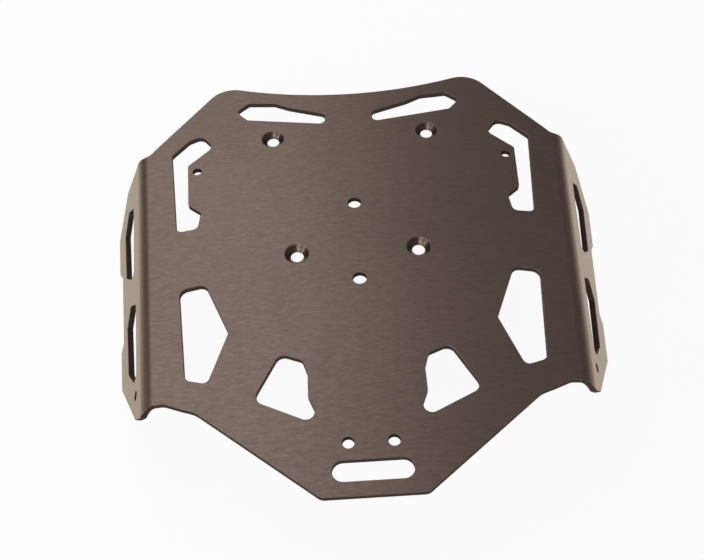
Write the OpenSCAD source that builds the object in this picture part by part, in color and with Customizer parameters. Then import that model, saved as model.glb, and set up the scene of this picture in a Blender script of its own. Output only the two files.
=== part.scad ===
// Luggage rack for a motorcycle: one aluminium sheet, cut out flat and folded down along both sides.
// X runs to the right, Y to the front of the motorcycle and Z up. The origin is on the centreline,
// midway between the two rear screws, on the underside of the deck.

/* [Sheet and folds] */
// Thickness of the sheet
sheet_t = 4; // [3:0.5:5]
// Inside radius of the folds
bend_r = 6; // [4:0.5:7]
// Angle that each side is folded down
fold_angle = 65; // [58:1:70]
// Half the width between the fold lines, level with the rear screws
fold_x = 142; // [139:0.5:148]
// How far each fold line comes in over 100 of length
fold_drift = 10; // [8:0.5:12]
// Where the front ends of the folds lie
fold_front = 97; // [92:0.5:98]
// How far behind the rear screws the deck ends at the folds
fold_rear = 108; // [106:0.5:109]

/* [Deck outline] */
// Front edge at the centreline
front_y = 152; // [150:0.5:160]
// Depth of the hollow in the front edge
front_hollow = 12; // [6:0.5:16]
// Half the width between the two foremost points
front_x = 86.5; // [80:0.5:92]
// Radius of the front corners
front_corner_r = 20; // [12:1:24]
// Slant of the edges behind the front corners
front_slant = 53.5; // [50:0.5:56]
// Radius where a slanted edge meets its fold
fold_fillet_r = 8; // [3:0.5:12]
// Rear edge, behind the rear screws
tail_y = 170; // [168:0.5:180]
// Width of the rear edge
tail_w = 59; // [50:1:80]
// Radius of the rear corners
tail_corner_r = 6; // [2:0.5:10]
// Half the width where the rear slants end
hip_x = 101; // [96:0.5:103]
// How far behind the rear screws the rear slants end
hip_y = 113; // [112:0.5:116]
// Radius of the hollow corners at the hips
hip_r = 20; // [8:1:25]
// Radius of the corners between the hips and the folds
arch_r = 8; // [4:0.5:9]

/* [Side flanges] */
// Depth of a flange below its fold line, level with the rear screws
hem_depth = 63.5; // [60:0.5:70]
// Angle between the lower edge and the fold line
hem_angle = 4.5; // [2:0.5:6]
// Height of the recess in the lower edge
recess_h = 8; // [3:0.5:12]
// Front end of the recess
recess_front = 31.5; // [22:0.5:34]
// Rear end of the recess, behind the rear screws
recess_rear = 28; // [20:0.5:34]
// Front end of the lower edge
hem_front = 75.5; // [70:0.5:82]
// Rear end of the lower edge, behind the rear screws
hem_rear = 62; // [54:0.5:68]
// Foremost point of a flange
flange_front = 99.5; // [97:0.5:104]
// Depth of the foremost point
flange_front_w = 40; // [32:1:46]
// How far behind the rear screws a flange ends at its fold
flange_rear = 111; // [110:0.5:112]
// How far the rear tip lies behind the rear screws
tip_s = 105.5; // [102:0.5:108]
// Depth of the rear tip
tip_w = 20; // [17:0.5:26]
// Radius of the outer corners of the flanges
flange_corner_r = 4; // [2:0.5:6]

/* [Flange slots] */
// Width of the border between the slots and the lower edge
slot_border = 20.5; // [17:0.5:22]
// Tip of the front slot
front_slot_front = 76.5; // [72:0.5:80]
// Rear end of the front slot
front_slot_rear = 8; // [4:0.5:16]
// Depth of the upper edge of the front slot
front_slot_top = 21.5; // [19:0.5:24]
// Depth of the tip of the front slot
front_slot_tip = 37; // [32:0.5:40]
// Tip of the rear slot, behind the rear screws
rear_slot_front = 12.5; // [8:0.5:18]
// Rear end of the rear slot, behind the rear screws
rear_slot_rear = 77.5; // [72:0.5:78]
// Depth of the upper edge of the rear slot
rear_slot_top = 16.5; // [15:0.5:20]
// Depth of the tip of the rear slot
rear_slot_tip = 32; // [28:0.5:34]
// Radius of the corners of all cut-outs
cut_r = 3; // [1.5:0.25:3.5]

/* [Deck cut-outs] */
// Inner end of the front windows, from the centreline
wedge_in = 17.5; // [14:0.5:24]
// Outer tip of the front windows
wedge_out = 83.5; // [80:0.5:86]
// Lower edge of the front windows at its inner end
wedge_y = 121; // [118:0.5:123]
// Height of the front windows at their inner end
wedge_h = 10.5; // [8:0.5:12]
// Inner corner of the long windows' foot, from the centreline
bone_in = 105; // [102:0.5:107]
// Outer corner of the long windows' foot
bone_out = 120.5; // [118:0.5:122]
// Rear end of the long windows
bone_rear = 24; // [20:0.5:28]
// Front end of the long windows
bone_front = 115; // [110:0.5:116]
// Width of the neck of the long windows
bone_neck = 9.5; // [8:0.5:11]
// Inner tip of the five-sided windows
penta_in = 83; // [80:0.5:88]
// Outer edge of the five-sided windows, at its front end
penta_out = 115.5; // [112:0.5:118]
// Front end of the five-sided windows, behind the rear screws
penta_front = 21; // [20:0.5:28]
// Rear end of the five-sided windows, behind the rear screws
penta_rear = 94.5; // [90:0.5:97]
// Inner edge of the bell-shaped windows, from the centreline
bell_in = 35; // [32:0.5:38]
// Outer corner of the bell-shaped windows
bell_out = 67.5; // [64:0.5:69]
// Front end of the bell-shaped windows, behind the rear screws
bell_front = 76.5; // [74:0.5:80]
// Rear end of the bell-shaped windows, behind the rear screws
bell_rear = 122.5; // [120:0.5:125]
// Length of the slot at the tail
tail_slot_l = 46; // [36:0.5:50]
// Width of the slot at the tail
tail_slot_w = 12.5; // [8:0.5:14]
// Middle of the slot at the tail, behind the rear screws
tail_slot_y = 155; // [153:0.5:156]

/* [Holes] */
// Distance between the two rear screws
rear_screws = 80; // [70:1:90]
// Distance between the two front screws
front_screws = 112; // [100:1:124]
// Distance from the rear screws to the front screws
screw_rows = 108; // [102:0.5:109]
// Diameter of the four screw holes
screw_d = 8.4; // [8:0.1:9]
// Diameter of their countersinks, cut at 90 degrees
countersink_d = 16; // [12:0.1:18]
// Diameter of the two holes on the centreline
middle_d = 9; // [6:0.1:11]
// Distance of the front centreline hole ahead of the rear screws
middle_front = 41.5; // [34:0.5:60]
// Distance between the two centreline holes
middle_pitch = 64.5; // [50:0.5:80]
// Diameter of the two tail holes
tail_hole_d = 7; // [5:0.1:8]
// Distance between the two tail holes
tail_holes = 26; // [20:0.5:40]
// How far the tail holes lie behind the rear screws
tail_hole_y = 138; // [134:0.5:142]
// Diameter of the small tie holes in the deck and the flanges
tie_d = 6; // [3:0.1:7]
// Distance between the two tie holes in the deck
tie_holes = 219; // [212:0.5:222]
// Distance of the tie holes in the deck ahead of the rear screws
tie_y = 79.5; // [74:0.5:84]
// How far the tie hole of a flange lies behind the rear screws
flange_tie_s = 89.5; // [87:0.5:92]
// Depth of the tie hole of a flange
flange_tie_w = 18.5; // [17:0.5:20]

/* [Hidden] */
$fn = 64;
// Space left around everything that is cut through the sheet
over = 1;
// Half the length of the sheet before it is cut to shape
blank = 200;
// Reach of the cuts that trim the outline
reach = 300;
// How far the straight steps of a rounded corner may stray from the true curve
sagitta = 0.01;
outer_r = bend_r + sheet_t;
set_back = outer_r * tan(fold_angle / 2);
fold_turn = atan(fold_drift / 100);
front_corner_y = front_y + front_hollow - front_corner_r;
hollow_r = (front_x ^ 2 + (front_y - front_corner_y) ^ 2 - front_corner_r ^ 2) / (2 * front_hollow);
hollow_turn = asin(front_x / (hollow_r + front_corner_r));

// Plane geometry
function unit(v) = v / norm(v);
function heading(a) = [cos(a), sin(a)];
function turned(v, a) = [v.x * cos(a) - v.y * sin(a), v.x * sin(a) + v.y * cos(a)];
function flipped(points) = [for (p = points) [-p.x, p.y]];
function reversed(points) = [for (i = [len(points) - 1:-1:0]) points[i]];
function arc(centre, r, from, to) =
  let (n = ceil(abs(to - from) / (2 * acos(1 - sagitta / r))))
  [for (i = [0:n]) centre + r * heading(from + (to - from) * i / n)];

// Points of the rounded corner at c, between the corners before and after it
function corner(before, c, after, r) =
  let (u = unit(before - c), v = unit(after - c), half = acos(u * v) / 2)
  let (centre = c + unit(u + v) * r / sin(half), start = c + u * r / tan(half) - centre)
  let (from = atan2(start.y, start.x), turn = -sign(cross(u, v)) * (180 - 2 * half))
  arc(centre, r, from, from + turn);

// Outline through corners that are given as [x, y, radius]
function rounded(corners) =
  let (n = len(corners), at = [for (c = corners) [c.x, c.y]])
  [for (i = [0:n - 1]) each corners[i][2] > 0
    ? corner(at[(i + n - 1) % n], at[i], at[(i + 1) % n], corners[i][2])
    : [at[i]]];

// Places on the right side: from the fold line [outwards, forwards] to the deck [x, y] and back
function on_deck(p) = [fold_x, 0] + turned(p, -fold_turn);
function on_fold(p) = turned(p - [fold_x, 0], fold_turn);
function hem(s) = hem_depth + s * tan(hem_angle);
// Where a line through p, heading at a, reaches the distance s along the fold
function met_at(p, a, s) = p + heading(a) * (s - p.y) / sin(a);

// Frame of the right fold: x outwards, y forwards along the fold line, z up from the underside
module fold_frame() {
  translate([fold_x, 0, 0]) rotate([0, 0, -fold_turn]) children();
}

// Frame on the axis of the right bend: x along the sheet in mid-bend, z outwards through mid-bend
module bend_frame() {
  fold_frame() translate([-set_back, 0, -bend_r]) rotate([0, fold_angle / 2, 0]) children();
}

// Frame of the right flange: x down the slope from the fold line, z outwards from its outer face
module flange_frame() {
  fold_frame() translate([0, 0, sheet_t]) rotate([0, fold_angle, 0]) children();
}

module both_sides() {
  children();
  mirror([1, 0, 0]) children();
}

module through_deck() {
  translate([0, 0, -over]) linear_extrude(sheet_t + 2 * over) children();
}

module through_flange() {
  flange_frame() translate([0, 0, -sheet_t - over]) linear_extrude(sheet_t + 2 * over) children();
}

// Half of the sheet before it is cut to shape: deck, bend and flange in one section along the fold.
// The deck runs on past the centreline over the whole length, so the two halves overlap.
module folded_half() {
  down = -fold_angle;
  inner = -fold_x - blank * tan(fold_turn);
  flat = [
    outer_r * heading(90 + down) + blank / 2 * heading(down),
    bend_r * heading(90 + down) + blank / 2 * heading(down)
  ];
  fold_frame() translate([-set_back, blank, -bend_r]) rotate([90, 0, 0]) linear_extrude(2 * blank)
    polygon(concat(
      [[inner, outer_r]], arc([0, 0], outer_r, 90, 90 + down), flat,
      arc([0, 0], bend_r, 90 + down, 90), [[inner, bend_r]]
    ));
}

// The right half of the deck's front edge, from the centreline to the slanted edge
function front_half() = concat(
  arc([0, front_y + hollow_r], hollow_r, -90, hollow_turn - 90),
  arc([front_x, front_corner_y], front_corner_r, 90 + hollow_turn, 90 - front_slant)
);

// A place on the slanted edge, short of the fold, where the cut across the fold takes over
function slant_end() =
  let (a = [front_x, front_corner_y] + front_corner_r * heading(90 - front_slant))
  let (b = met_at(on_fold(a), fold_turn - front_slant, fold_front))
  on_deck(b) - (fold_fillet_r + 4) * heading(-front_slant);

module front_cut() {
  edge = concat(front_half(), [slant_end(), slant_end() + 8 * heading(90 - front_slant)]);
  through_deck() polygon(concat(reversed(flipped(edge)), edge, [[reach, reach], [-reach, reach]]));
}

// Cuts the deck and the bend at the front end of a fold. It leans 2 degrees off the slanted edge, so
// that the two cuts cross.
module fold_front_cut() {
  lean = fold_turn - front_slant - 2;
  start = on_fold(slant_end());
  foot = met_at(start, lean, fold_front);
  far = start - 30 * heading(lean);
  floor_z = sheet_t - (set_back + 2.5) * sin(fold_angle);
  fold_frame() translate([0, 0, floor_z - sheet_t * cos(fold_angle)]) linear_extrude(reach)
    polygon(rounded([
      [far.x, far.y, 0], [foot.x, foot.y, fold_fillet_r], [reach, fold_front, 0],
      [reach, 2 * reach, 0], [far.x, 2 * reach, 0]
    ]));
}

// Corner of the deck's edge behind a fold, and the place on the way to it where the cut of the tail
// gives over. That place lies a little off the straight line from the hip, so that the two cuts cross.
function hip() = on_fold([hip_x, -hip_y]);
function arch_corner() = [-set_back - 5.3, -fold_rear];
function arch_start() =
  let (along = unit(arch_corner() - hip()))
  hip() + 8 * along - 0.25 * turned(along, 90);

module tail_cut() {
  end = on_deck(arch_start() + unit(arch_start() - hip()));
  half = [
    [tail_w / 2, -tail_y, tail_corner_r], [hip_x, -hip_y, hip_r], concat(end, 0),
    concat(end + [4, -8], 0), [reach, -reach, 0]
  ];
  through_deck() polygon(rounded(concat(half, [for (c = reversed(half)) [-c.x, c.y, c[2]]])));
}

// Cuts the deck at the rear end of a fold
module arch_cut() {
  along = unit(arch_corner() - arch_start());
  far = arch_start() - 4 * along;
  fold_frame() translate([0, 0, -over]) linear_extrude(sheet_t + 2 * over)
    polygon(rounded([
      concat(far, 0), concat(arch_corner(), arch_r), [-set_back - 0.5, -fold_rear, 0],
      [-set_back - 0.5, -reach, 0], [far.x, -reach, 0]
    ]));
}

// Cuts the bend at its rear end. The edge runs down its curve square to the sheet, from the deck's
// end back to the flange's end, and crosses the cut of the deck at a slight angle.
module bend_rear_cut() {
  lip = bend_r * sin(fold_angle / 2) - 0.7;
  floor_z = bend_r * cos(fold_angle / 2) - 2;
  bend_frame() translate([0, 0, floor_z]) linear_extrude(outer_r + over - floor_z)
    polygon(rounded([
      [-lip - 3.5, -fold_rear - 0.1, 0], [-lip, -fold_rear + 0.05, bend_r / 2],
      [lip, -flange_rear, bend_r / 2], [lip + 4.5, -flange_rear, 0],
      [lip + 4.5, -reach, 0], [-lip - 3.5, -reach, 0]
    ]));
}

// What is cut away around a flange. In the flange, x is the depth below the fold line. The edges at
// the front and rear run on past the bend and cross the cuts of the bend there.
module flange_cut() {
  w_top = set_back + 0.5;
  tip = [tip_w, -tip_s];
  root = [w_top + 0.6, -flange_rear];
  past = root + 6 * unit(root - tip);
  r = flange_corner_r;
  through_flange() difference() {
    translate([w_top, -reach]) square([reach, 2 * reach]);
    polygon(rounded([
      [w_top - 5, fold_front + 0.2, 0], [w_top + 6, fold_front - 0.15, 0], [flange_front_w, flange_front, r],
      [hem(hem_front), hem_front, r], [hem(recess_front + 10), recess_front + 10, r / 2],
      [hem(recess_front) - recess_h, recess_front, r / 2], [hem(-recess_rear) - recess_h, -recess_rear, r / 2],
      [hem(-recess_rear - 3), -recess_rear - 3, r / 2], [hem(-hem_rear), -hem_rear, r],
      concat(tip, r / 2), concat(past, 0)
    ]));
  }
}

// Slot in a flange: pointed in front, and with one long chamfer behind
module flange_slot(front, rear, top, tip, heel) {
  lower_front = hem(front) - slot_border;
  lower_rear = hem(rear + heel) - slot_border;
  through_flange() polygon(rounded([
    [top, front - 9.5, cut_r], [tip, front, cut_r],
    [lower_front, front - 1.1 * (lower_front - tip), cut_r], [lower_rear, rear + heel, cut_r],
    [top + 7, rear, cut_r], [top, rear, cut_r]
  ]));
}

module wedge_window() {
  through_deck() polygon(rounded([
    [wedge_in, wedge_y, cut_r + 1], [wedge_out - 8.5, wedge_y + 8.5, cut_r],
    [wedge_out, wedge_y + 18, cut_r + 1], [wedge_out - 9.5, wedge_y + 26.5, cut_r],
    [wedge_out - 28.5, wedge_y + 25, cut_r], [wedge_in + 26.5, wedge_y + wedge_h + 9, 4 * cut_r],
    [wedge_in, wedge_y + wedge_h, cut_r + 1]
  ]));
}

// Long window beside a fold, with a bent head, a neck and a wider foot
module bone_window() {
  through_deck() polygon(rounded([
    [bone_in + 3, bone_front, cut_r + 2], [bone_in - 6, bone_front - 11.5, cut_r + 2.5],
    [bone_out - bone_neck + 5.5, bone_front - 29.5, cut_r],
    [bone_out - bone_neck + 3, bone_rear + 24, cut_r], [bone_in, bone_rear + 16.5, cut_r / 2],
    [bone_in + 1.5, bone_rear + 2.5, cut_r + 1.5], [bone_out, bone_rear, cut_r + 1],
    [bone_out + 8, bone_front - 18.5, cut_r], [bone_out - 3.5, bone_front - 4.5, cut_r]
  ]));
}

module penta_window() {
  through_deck() polygon(rounded([
    [penta_in + 16, -penta_front, cut_r + 2], [penta_out, -penta_front - 3.5, cut_r + 3],
    [penta_out - 7.5, -penta_rear + 3.5, cut_r + 2], [penta_in + 11.5, -penta_rear, cut_r + 1],
    [penta_in, -penta_rear + 35.5, cut_r]
  ]));
}

module bell_window() {
  through_deck() polygon(rounded([
    [bell_out - 16, -bell_front, cut_r + 2.5], [bell_in + 3, -bell_front - 5.5, cut_r],
    [bell_in, -bell_front - 15, cut_r], [bell_in, -bell_rear + 15.5, cut_r],
    [bell_in - 8, -bell_rear - 4.5, cut_r + 2], [bell_out, -bell_rear + 15, cut_r + 3]
  ]));
}

module tail_slot() {
  through_deck() translate([0, -tail_slot_y]) {
    square([tail_slot_l - tail_slot_w, tail_slot_w], center = true);
    for (side = [-1, 1]) translate([side * (tail_slot_l - tail_slot_w) / 2, 0]) circle(d = tail_slot_w);
  }
}

// Screw hole with a countersink that takes the screw's head flush
module screw_hole() {
  depth = (countersink_d - screw_d) / 2;
  translate([0, 0, -over]) cylinder(d = screw_d, h = sheet_t + 2 * over);
  translate([0, 0, sheet_t - depth]) cylinder(d1 = screw_d, d2 = countersink_d + 2 * over, h = depth + over);
}

module plain_hole(d) {
  translate([0, 0, -over]) cylinder(d = d, h = sheet_t + 2 * over);
}

// The whole rack is this one folded plate
module rack_plate() {
  color([0.29, 0.25, 0.23]) difference() {
    both_sides() folded_half();
    front_cut();
    tail_cut();
    both_sides() {
      fold_front_cut();
      arch_cut();
      bend_rear_cut();
      flange_cut();
      flange_slot(front_slot_front, front_slot_rear, front_slot_top, front_slot_tip, 13);
      flange_slot(-rear_slot_front, -rear_slot_rear, rear_slot_top, rear_slot_tip, 15);
      flange_frame() translate([flange_tie_w, -flange_tie_s, -sheet_t]) plain_hole(tie_d);
      wedge_window();
      bone_window();
      penta_window();
      bell_window();
      translate([front_screws / 2, screw_rows, 0]) screw_hole();
      translate([rear_screws / 2, 0, 0]) screw_hole();
      translate([tail_holes / 2, -tail_hole_y, 0]) plain_hole(tail_hole_d);
      translate([tie_holes / 2, tie_y, 0]) plain_hole(tie_d);
    }
    tail_slot();
    for (y = [middle_front, middle_front - middle_pitch]) translate([0, y, 0]) plain_hole(middle_d);
  }
}

rack_plate();
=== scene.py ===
# A luggage rack for a motorcycle: one thick aluminium sheet, cut out flat, folded down along both
# sides, brushed across its width and anodised dark bronze. X runs to the right, Y to the front of
# the motorcycle and Z up, in metres.
import math

import bpy
from mathutils import Matrix, Vector


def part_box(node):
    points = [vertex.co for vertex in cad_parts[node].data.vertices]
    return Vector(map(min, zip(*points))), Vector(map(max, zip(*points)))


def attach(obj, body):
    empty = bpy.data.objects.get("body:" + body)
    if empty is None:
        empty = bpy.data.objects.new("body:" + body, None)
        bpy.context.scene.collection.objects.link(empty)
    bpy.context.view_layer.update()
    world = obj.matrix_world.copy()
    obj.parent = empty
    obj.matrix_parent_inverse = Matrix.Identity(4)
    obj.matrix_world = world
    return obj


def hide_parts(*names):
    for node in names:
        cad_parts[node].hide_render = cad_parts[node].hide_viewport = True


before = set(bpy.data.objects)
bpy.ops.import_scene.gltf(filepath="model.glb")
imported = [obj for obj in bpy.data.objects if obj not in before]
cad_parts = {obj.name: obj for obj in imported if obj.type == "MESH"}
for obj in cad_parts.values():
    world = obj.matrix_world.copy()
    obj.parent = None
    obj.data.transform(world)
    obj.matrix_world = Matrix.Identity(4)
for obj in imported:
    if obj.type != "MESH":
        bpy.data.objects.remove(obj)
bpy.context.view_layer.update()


# Camera: it stands behind the rack at arm's length and looks down on it at about 53 degrees, with
# a lens that takes in the whole rack.
CAMERA_PLACE = (-0.00826, -0.3629, 0.45521)
CAMERA_TURN = (36.8414, 1.8113, -2.9553)
CAMERA_LENS = 45.196

bpy.ops.object.select_all(action="DESELECT")
bpy.ops.object.camera_add(
    location=CAMERA_PLACE, rotation=[math.radians(degrees) for degrees in CAMERA_TURN]
)
camera = bpy.context.active_object
camera.name = "camera"
camera.data.sensor_width = 36.0
camera.data.lens = CAMERA_LENS
camera.data.clip_start = 0.01
bpy.context.scene.camera = camera


# The rack plate: 4 mm aluminium sheet, cut out and folded on a press brake, with every cut edge
# lightly broken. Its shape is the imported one; the round holes are bored again, smooth and round.
SHEET = 0.004
BEND_RADIUS = 0.006
OUTER_RADIUS = BEND_RADIUS + SHEET
FOLD_ANGLE = math.radians(65.0)
FOLD_X = 0.142
FOLD_TURN = math.atan(0.10)
SET_BACK = OUTER_RADIUS * math.tan(FOLD_ANGLE / 2)

# Countersunk holes are given by their middles, plain holes by their middles and diameters, and the
# flange hole by its way down from the fold, its way along it and its diameter.
SCREWS = [(-0.040, 0.0), (0.040, 0.0), (-0.056, 0.108), (0.056, 0.108)]
SCREW_HOLE = 0.0084
COUNTERSINK = 0.016
PLAIN_HOLES = [
    (0.0, 0.0415, 0.009),
    (0.0, -0.023, 0.009),
    (-0.013, -0.138, 0.007),
    (0.013, -0.138, 0.007),
    (-0.1095, 0.0795, 0.006),
    (0.1095, 0.0795, 0.006),
]
FLANGE_HOLE = (0.0185, -0.0895, 0.006)

ROUND = 96
CUT_CLEAR = 0.00003
CONE_TOP = 0.006
SAME_POINT = 0.000001
DOUBLED_POINT = 0.00001
FLAT_WITHIN = math.radians(0.4)

plate = bpy.data.objects.new("folded_plate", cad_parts["rack_plate"].data.copy())
bpy.context.scene.collection.objects.link(plate)


def take(piece):
    """Leaves only this piece selected, and active."""
    bpy.ops.object.select_all(action="DESELECT")
    piece.select_set(True)
    bpy.context.view_layer.objects.active = piece


take(plate)
bpy.ops.object.mode_set(mode="EDIT")
bpy.ops.mesh.select_all(action="SELECT")
bpy.ops.mesh.remove_doubles(threshold=SAME_POINT)
bpy.ops.mesh.customdata_custom_splitnormals_clear()
bpy.ops.mesh.dissolve_limited(angle_limit=FLAT_WITHIN)
bpy.ops.object.mode_set(mode="OBJECT")


def cutter(x, y, diameter):
    """A round cutter that stands through the deck, a sheet's thickness proud on both sides."""
    bpy.ops.object.select_all(action="DESELECT")
    bpy.ops.mesh.primitive_cylinder_add(
        vertices=ROUND,
        radius=diameter / 2 + CUT_CLEAR,
        depth=3 * SHEET,
        location=(x, y, SHEET / 2),
    )
    return bpy.context.active_object


def finish_cut(piece, tool, operation):
    """Joins the tool to the piece or cuts the piece with it, and takes the tool away."""
    take(piece)
    cut = piece.modifiers.new("cut", "BOOLEAN")
    cut.operation = operation
    cut.solver = "EXACT"
    cut.object = tool
    bpy.ops.object.modifier_apply(modifier=cut.name)
    bpy.data.objects.remove(tool)


# The screw cutter is made once: a drill with a 90 degree countersink above it.
x, y = SCREWS[0]
screw_cutter = cutter(x, y, SCREW_HOLE)
foot_radius = COUNTERSINK / 2 + CUT_CLEAR - SHEET
bpy.ops.object.select_all(action="DESELECT")
bpy.ops.mesh.primitive_cone_add(
    vertices=ROUND,
    radius1=foot_radius,
    radius2=foot_radius + CONE_TOP,
    depth=CONE_TOP,
    location=(x, y, CONE_TOP / 2),
)
finish_cut(screw_cutter, bpy.context.active_object, "UNION")
cutters = [screw_cutter]
for to_x, to_y in SCREWS[1:]:
    again = screw_cutter.copy()
    again.data = screw_cutter.data.copy()
    again.location = screw_cutter.location + Vector((to_x - x, to_y - y, 0))
    bpy.context.scene.collection.objects.link(again)
    cutters.append(again)
cutters += [cutter(*hole) for hole in PLAIN_HOLES]
down, along, flange_diameter = FLANGE_HOLE
flange_middles = []
for side in (1, -1):
    on_flange = (
        Matrix.Translation((FOLD_X, 0, 0))
        @ Matrix.Rotation(-FOLD_TURN, 4, "Z")
        @ Matrix.Translation((0, 0, SHEET))
        @ Matrix.Rotation(FOLD_ANGLE, 4, "Y")
        @ Matrix.Translation((down, along, -SHEET / 2))
    )
    mirror = Matrix.Diagonal((side, 1, 1, 1))
    drill = cutter(0, 0, flange_diameter)
    drill.matrix_world = mirror @ on_flange @ mirror
    flange_middles.append((mirror @ on_flange @ mirror).translation)
    cutters.append(drill)
bpy.ops.object.select_all(action="DESELECT")
for each in cutters:
    each.select_set(True)
bpy.context.view_layer.objects.active = cutters[0]
bpy.ops.object.join()
finish_cut(plate, bpy.context.active_object, "DIFFERENCE")

# Points that the boring left on top of one another would dent the shading beside the holes.
bpy.ops.object.mode_set(mode="EDIT")
bpy.ops.mesh.select_all(action="SELECT")
bpy.ops.mesh.remove_doubles(threshold=DOUBLED_POINT)
bpy.ops.mesh.dissolve_degenerate(threshold=DOUBLED_POINT)
bpy.ops.object.mode_set(mode="OBJECT")


def place_on_sheet(point):
    """Where a point lies on the sheet while it was flat, and the sheet's own normal there."""
    side = 1 if point.x >= 0 else -1
    x, y = side * point.x - FOLD_X, point.y
    out = x * math.cos(FOLD_TURN) - y * math.sin(FOLD_TURN)
    on = x * math.sin(FOLD_TURN) + y * math.cos(FOLD_TURN)
    from_axis = Vector((out + SET_BACK, point.z + BEND_RADIUS))
    angle = math.atan2(from_axis.x, from_axis.y)
    if from_axis.x <= 0:
        angle = 0.0
        flat = out
    elif angle < FOLD_ANGLE:
        flat = -SET_BACK + OUTER_RADIUS * angle
    else:
        angle = FOLD_ANGLE
        below = from_axis.x * math.cos(FOLD_ANGLE) - from_axis.y * math.sin(FOLD_ANGLE)
        flat = -SET_BACK + OUTER_RADIUS * FOLD_ANGLE + below
    flat_x = FOLD_X + flat * math.cos(FOLD_TURN) + on * math.sin(FOLD_TURN)
    flat_y = -flat * math.sin(FOLD_TURN) + on * math.cos(FOLD_TURN)
    normal = Vector(
        (
            side * math.sin(angle) * math.cos(FOLD_TURN),
            -math.sin(angle) * math.sin(FOLD_TURN),
            math.cos(angle),
        )
    )
    return side * flat_x, flat_y, normal


# Each face gets its finish: brushed sheet, cut edge, turned countersink or bored hole, the last
# painted darker as shade inside the holes. A face is known by how far it is turned from the sheet,
# and by how near it is to a hole.
FLAT_FACING = 0.9
CONE_FACING = (0.6, 0.8)
NEAR = 0.0005

bored_holes = PLAIN_HOLES + [(*place_on_sheet(p)[:2], flange_diameter) for p in flange_middles]
plate.data.materials.clear()
for name in ("brushed", "cut", "turned", "bored_painted_shade", "broken"):
    plate.data.materials.append(bpy.data.materials.new(name))
BRUSHED, CUT, TURNED, BORED_PAINTED_SHADE, BROKEN = range(5)
for face in plate.data.polygons:
    flat_x, flat_y, normal = place_on_sheet(face.center)
    facing = abs(face.normal.dot(normal))
    in_screw = any(
        math.dist(face.center[:2], screw) < COUNTERSINK / 2 + NEAR for screw in SCREWS
    )
    in_bore = any(
        math.dist((flat_x, flat_y), (x, y)) < diameter / 2 + NEAR for x, y, diameter in bored_holes
    )
    if facing > FLAT_FACING:
        face.material_index = BRUSHED
    elif in_screw and CONE_FACING[0] < facing < CONE_FACING[1]:
        face.material_index = TURNED
    elif in_screw or in_bore:
        face.material_index = BORED_PAINTED_SHADE
    else:
        face.material_index = CUT

# The cut edges are broken all round, and the flat faces keep their normals right up to them.
EDGE_BREAK = 0.0003
SHARP = math.radians(28)

take(plate)
edges = plate.modifiers.new("edges", "BEVEL")
edges.limit_method = "ANGLE"
edges.angle_limit = SHARP
edges.width = EDGE_BREAK
edges.segments = 2
edges.material = BROKEN
edges.use_clamp_overlap = False
bpy.ops.object.modifier_apply(modifier=edges.name)
bpy.ops.object.shade_smooth()
shading = plate.modifiers.new("shading", "WEIGHTED_NORMAL")
shading.weight = 100
bpy.ops.object.modifier_apply(modifier=shading.name)

# The grain keeps to the sheet as it was before folding, and the rings of the tool go round each
# countersink.
flat_sheet = plate.data.uv_layers.new(name="flat_sheet")
around = plate.data.uv_layers.new(name="around")
for face in plate.data.polygons:
    screw = min(SCREWS, key=lambda middle: math.dist(face.center[:2], middle))
    face_angle = math.atan2(face.center.y - screw[1], face.center.x - screw[0])
    for corner in face.loop_indices:
        point = plate.data.vertices[plate.data.loops[corner].vertex_index].co
        flat_sheet.uv[corner].vector = place_on_sheet(point)[:2]
        angle = math.atan2(point.y - screw[1], point.x - screw[0])
        angle += math.tau * round((face_angle - angle) / math.tau)
        around.uv[corner].vector = (angle * SCREW_HOLE, math.dist(point[:2], screw))


def reckoned(tree, operation, first, second):
    """A Math node's result from two others, each a node's output or a plain number."""
    node = tree.nodes.new("ShaderNodeMath")
    node.operation = operation
    for socket, given in zip(node.inputs, (first, second)):
        if isinstance(given, float):
            socket.default_value = given
        else:
            tree.links.new(given, socket)
    return node.outputs[0]


def spread(tree, value, low, high, to_low=0.0, to_high=1.0):
    """A Map Range node that moves a value from one range to another and keeps it inside."""
    node = tree.nodes.new("ShaderNodeMapRange")
    node.inputs["From Min"].default_value = low
    node.inputs["From Max"].default_value = high
    node.inputs["To Min"].default_value = to_low
    node.inputs["To Max"].default_value = to_high
    tree.links.new(value, node.inputs["Value"])
    return node


def tool_lines():
    """Fine and coarse scratches that run along X of the place given and lie a pitch apart."""
    group = bpy.data.node_groups.new("tool_lines", "ShaderNodeTree")
    for name, kind in (("Place", "Vector"), ("Run", "Float"), ("Pitch", "Float")):
        group.interface.new_socket(name, in_out="INPUT", socket_type="NodeSocket" + kind)
    for name in ("Fine", "Coarse"):
        group.interface.new_socket(name, in_out="OUTPUT", socket_type="NodeSocketFloat")
    given = group.nodes.new("NodeGroupInput")
    shown = group.nodes.new("NodeGroupOutput")
    parts = group.nodes.new("ShaderNodeSeparateXYZ")
    group.links.new(given.outputs["Place"], parts.inputs[0])
    for output, longer, wider, seed in (("Fine", 1.0, 1.0, 3.7), ("Coarse", 2.0, 3.0, 11.3)):
        run = reckoned(group, "MULTIPLY", given.outputs["Run"], longer)
        pitch = reckoned(group, "MULTIPLY", given.outputs["Pitch"], wider)
        at = group.nodes.new("ShaderNodeCombineXYZ")
        group.links.new(reckoned(group, "DIVIDE", parts.outputs["X"], run), at.inputs["X"])
        group.links.new(reckoned(group, "DIVIDE", parts.outputs["Y"], pitch), at.inputs["Y"])
        at.inputs["Z"].default_value = seed
        noise = group.nodes.new("ShaderNodeTexNoise")
        noise.inputs["Scale"].default_value = 1.0
        noise.inputs["Detail"].default_value = 2.0
        noise.inputs["Roughness"].default_value = 0.6
        group.links.new(at.outputs[0], noise.inputs["Vector"])
        group.links.new(noise.outputs["Fac"], shown.inputs[output])
    return group


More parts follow.
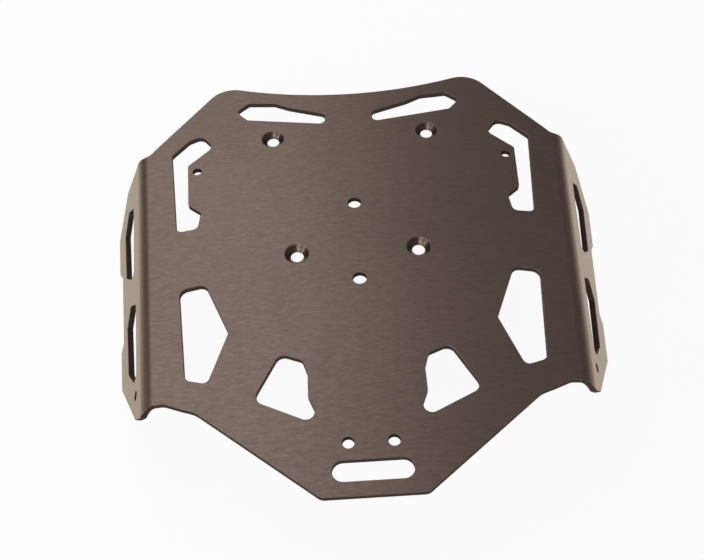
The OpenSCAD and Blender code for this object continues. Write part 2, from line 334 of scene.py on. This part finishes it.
def dye_tone():
    """Slow changes in the tone of the anodising, from 0 to 1."""
    group = bpy.data.node_groups.new("dye_tone", "ShaderNodeTree")
    group.interface.new_socket("Place", in_out="INPUT", socket_type="NodeSocketVector")
    group.interface.new_socket("Size", in_out="INPUT", socket_type="NodeSocketFloat")
    group.interface.new_socket("Tone", in_out="OUTPUT", socket_type="NodeSocketFloat")
    given = group.nodes.new("NodeGroupInput")
    shown = group.nodes.new("NodeGroupOutput")
    noise = group.nodes.new("ShaderNodeTexNoise")
    noise.inputs["Detail"].default_value = 3.0
    group.links.new(given.outputs["Place"], noise.inputs["Vector"])
    scale = reckoned(group, "DIVIDE", 1.0, given.outputs["Size"])
    group.links.new(scale, noise.inputs["Scale"])
    group.links.new(noise.outputs["Fac"], shown.inputs["Tone"])
    return group


OXIDE_IOR = 1.4
OXIDE_ROUGHNESS = 0.28
TONE_PATCH = 0.09
TONE_RANGE = (0.3, 0.7)
LINES_RANGE = (0.6, 1.4)
ROUGHNESS_SWING = 0.05
QUARTER_TURN = 0.25

lines_group = tool_lines()
tone_group = dye_tone()


def anodised(
    name, layer, run, pitch, colours, streak, roughness, depth, grazing, metallic,
    anisotropy=0.0, clear=0.0,
):
    """One finish of the plate: its two dye tones, its tool lines and how it shines."""
    material = plate.data.materials[name]
    material.use_nodes = True
    tree = material.node_tree
    nodes, links = tree.nodes, tree.links
    shader = nodes["Principled BSDF"]
    shader.inputs["Metallic"].default_value = metallic
    shader.inputs["Specular Tint"].default_value = (*grazing, 1.0)
    shader.inputs["Coat Weight"].default_value = clear
    shader.inputs["Coat IOR"].default_value = OXIDE_IOR
    shader.inputs["Coat Roughness"].default_value = OXIDE_ROUGHNESS

    where = nodes.new("ShaderNodeUVMap")
    where.uv_map = layer
    lines = nodes.new("ShaderNodeGroup")
    lines.node_tree = lines_group
    lines.inputs["Run"].default_value = run
    lines.inputs["Pitch"].default_value = pitch
    links.new(where.outputs["UV"], lines.inputs["Place"])
    both = reckoned(tree, "ADD", lines.outputs["Fine"], lines.outputs["Coarse"])

    place = nodes.new("ShaderNodeTexCoord")
    tone = nodes.new("ShaderNodeGroup")
    tone.node_tree = tone_group
    tone.inputs["Size"].default_value = TONE_PATCH
    links.new(place.outputs["Object"], tone.inputs["Place"])
    slow = spread(tree, tone.outputs["Tone"], *TONE_RANGE)
    dye = nodes.new("ShaderNodeMix")
    dye.data_type = "RGBA"
    dye.inputs["A"].default_value = (*colours[0], 1.0)
    dye.inputs["B"].default_value = (*colours[1], 1.0)
    links.new(slow.outputs["Result"], dye.inputs["Factor"])

    streaks = spread(tree, both, *LINES_RANGE, 1.0 - streak, 1.0 + streak)
    streaked = nodes.new("ShaderNodeVectorMath")
    streaked.operation = "SCALE"
    links.new(dye.outputs["Result"], streaked.inputs[0])
    links.new(streaks.outputs["Result"], streaked.inputs["Scale"])
    links.new(streaked.outputs["Vector"], shader.inputs["Base Color"])

    rough = spread(
        tree, both, *LINES_RANGE, roughness + ROUGHNESS_SWING, roughness - ROUGHNESS_SWING
    )
    links.new(rough.outputs["Result"], shader.inputs["Roughness"])

    bump = nodes.new("ShaderNodeBump")
    bump.inputs["Distance"].default_value = depth
    bump.inputs["Strength"].default_value = 1.0
    links.new(lines.outputs["Fine"], bump.inputs["Height"])
    links.new(bump.outputs["Normal"], shader.inputs["Normal"])

    if anisotropy:
        grain = nodes.new("ShaderNodeTangent")
        grain.direction_type = "UV_MAP"
        grain.uv_map = layer
        links.new(grain.outputs["Tangent"], shader.inputs["Tangent"])
        shader.inputs["Anisotropic"].default_value = anisotropy
        shader.inputs["Anisotropic Rotation"].default_value = QUARTER_TURN


# Brushed faces: the grain runs across the width of the deck, round the bends and down the flanges,
# under a clear layer of oxide.
anodised(
    "brushed",
    "flat_sheet",
    run=0.0032,
    pitch=0.00055,
    colours=((0.138, 0.096, 0.079), (0.150, 0.104, 0.086)),
    streak=0.16,
    roughness=0.40,
    depth=0.0000012,
    grazing=(1.0, 0.80, 0.52),
    metallic=1.0,
    anisotropy=0.5,
    clear=0.6,
)
# Cut edges: dull and darker, with the faint marks of the cutting head.
anodised(
    "cut",
    "flat_sheet",
    run=0.0006,
    pitch=0.0006,
    colours=((0.056, 0.041, 0.035), (0.066, 0.048, 0.041)),
    streak=0.12,
    roughness=0.55,
    depth=0.00001,
    grazing=(0.5, 0.38, 0.32),
    metallic=0.85,
)
# Countersinks: turned, with rings from the tool.
anodised(
    "turned",
    "around",
    run=0.02,
    pitch=0.00025,
    colours=((0.098, 0.069, 0.058), (0.110, 0.078, 0.066)),
    streak=0.18,
    roughness=0.36,
    depth=0.000006,
    grazing=(0.8, 0.70, 0.62),
    metallic=1.0,
    anisotropy=0.35,
)
# Bored holes: dull walls, painted darker still as the shade inside the holes, so they are the
# darkest.
anodised(
    "bored_painted_shade",
    "flat_sheet",
    run=0.0006,
    pitch=0.0006,
    colours=((0.030, 0.019, 0.016), (0.038, 0.024, 0.020)),
    streak=0.12,
    roughness=0.50,
    depth=0.000006,
    grazing=(0.4, 0.28, 0.23),
    metallic=0.9,
)
# Broken edges: the same dye, a little smoother, so that they catch the light.
anodised(
    "broken",
    "flat_sheet",
    run=0.004,
    pitch=0.0006,
    colours=((0.135, 0.108, 0.098), (0.155, 0.124, 0.113)),
    streak=0.08,
    roughness=0.38,
    depth=0.000004,
    grazing=(0.8, 0.70, 0.63),
    metallic=1.0,
)

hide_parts("rack_plate")
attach(plate, "root")


# Floor: a plain white table top. The rack stands on the lower edges of its flanges, and from below
# the table top is seen through.
FLOOR_SIZE = 8.0
FLOOR_GREY = 0.9
WHITE_SHARE = 0.93

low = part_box("rack_plate")[0]
bpy.ops.object.select_all(action="DESELECT")
bpy.ops.mesh.primitive_plane_add(size=FLOOR_SIZE, location=(0, 0, low.z))
floor = bpy.context.active_object
floor.name = "floor"
table_top = bpy.data.materials.new("table_top")
table_top.use_nodes = True
tree = table_top.node_tree
nodes, links = tree.nodes, tree.links
paint = nodes["Principled BSDF"]
paint.inputs["Base Color"].default_value = (FLOOR_GREY, FLOOR_GREY, FLOOR_GREY, 1.0)
paint.inputs["Roughness"].default_value = 0.9
white = nodes.new("ShaderNodeEmission")
white.inputs["Strength"].default_value = 1.0
ray = nodes.new("ShaderNodeLightPath")
glossy = reckoned(tree, "MAXIMUM", ray.outputs["Is Camera Ray"], ray.outputs["Is Glossy Ray"])
seen = reckoned(tree, "MAXIMUM", glossy, ray.outputs["Is Transmission Ray"])
whitened = nodes.new("ShaderNodeMixShader")
links.new(reckoned(tree, "MULTIPLY", seen, WHITE_SHARE), whitened.inputs["Fac"])
links.new(paint.outputs["BSDF"], whitened.inputs[1])
links.new(white.outputs["Emission"], whitened.inputs[2])
side_seen = nodes.new("ShaderNodeNewGeometry")
open_below = nodes.new("ShaderNodeBsdfTransparent")
one_sided = nodes.new("ShaderNodeMixShader")
links.new(side_seen.outputs["Backfacing"], one_sided.inputs["Fac"])
links.new(whitened.outputs["Shader"], one_sided.inputs[1])
links.new(open_below.outputs["BSDF"], one_sided.inputs[2])
links.new(one_sided.outputs["Shader"], nodes["Material Output"].inputs["Surface"])
floor.data.materials.append(table_top)


# Light: one large panel above and beyond the left of the rack, with a dim end to its right, a
# softbox behind the camera and a weaker one low at the left.
def softbox(name, place, towards, width, height, power):
    """A rectangular lamp that faces a point."""
    bpy.ops.object.select_all(action="DESELECT")
    turn = (Vector(towards) - Vector(place)).to_track_quat("-Z", "Y").to_euler()
    bpy.ops.object.light_add(type="AREA", location=place, rotation=turn)
    lamp = bpy.context.active_object
    lamp.name = name
    lamp.data.shape = "RECTANGLE"
    lamp.data.size = width
    lamp.data.size_y = height
    lamp.data.energy = power


softbox("panel", (-0.5, 0.95, 1.4), (-0.5, 0.95, 0.0), 1.0, 2.1, 9.2)
softbox("panel_end", (0.16, 0.95, 1.4), (0.16, 0.95, 0.0), 0.32, 2.1, 0.5)
softbox("rear_softbox", (-0.85, -1.75, 1.65), (0, 0, 0), 1.2, 0.9, 20.0)
softbox("left_softbox", (-1.8, -0.5, 0.95), (0, 0, 0), 0.8, 0.6, 9.0)


# Room: even and pale. The camera sees it white, and the metal mirrors it white near the horizon,
# up to the top of the backdrop.
ROOM_LEVEL = 0.32
BACKDROP_TOP = 0.16
BACKDROP_FOOT = 0.02

room = bpy.data.worlds.new("room")
bpy.context.scene.world = room
room.use_nodes = True
tree = room.node_tree
nodes, links = tree.nodes, tree.links
air = nodes["Background"]
air.inputs["Color"].default_value = (1.0, 1.0, 1.0, 1.0)
direction = nodes.new("ShaderNodeTexCoord")
height = nodes.new("ShaderNodeSeparateXYZ")
links.new(direction.outputs["Generated"], height.inputs[0])
backdrop = spread(tree, height.outputs["Z"], BACKDROP_TOP, BACKDROP_FOOT)
backdrop.interpolation_type = "SMOOTHSTEP"
ray = nodes.new("ShaderNodeLightPath")
mirrored = reckoned(tree, "MULTIPLY", ray.outputs["Is Glossy Ray"], backdrop.outputs["Result"])
seen = reckoned(tree, "MAXIMUM", ray.outputs["Is Camera Ray"], mirrored)
shown = reckoned(tree, "MAXIMUM", seen, ray.outputs["Is Transmission Ray"])
level = spread(tree, shown, 0.0, 1.0, ROOM_LEVEL, 1.0)
links.new(level.outputs["Result"], air.inputs["Strength"])

bpy.context.scene.view_settings.view_transform = "Standard"
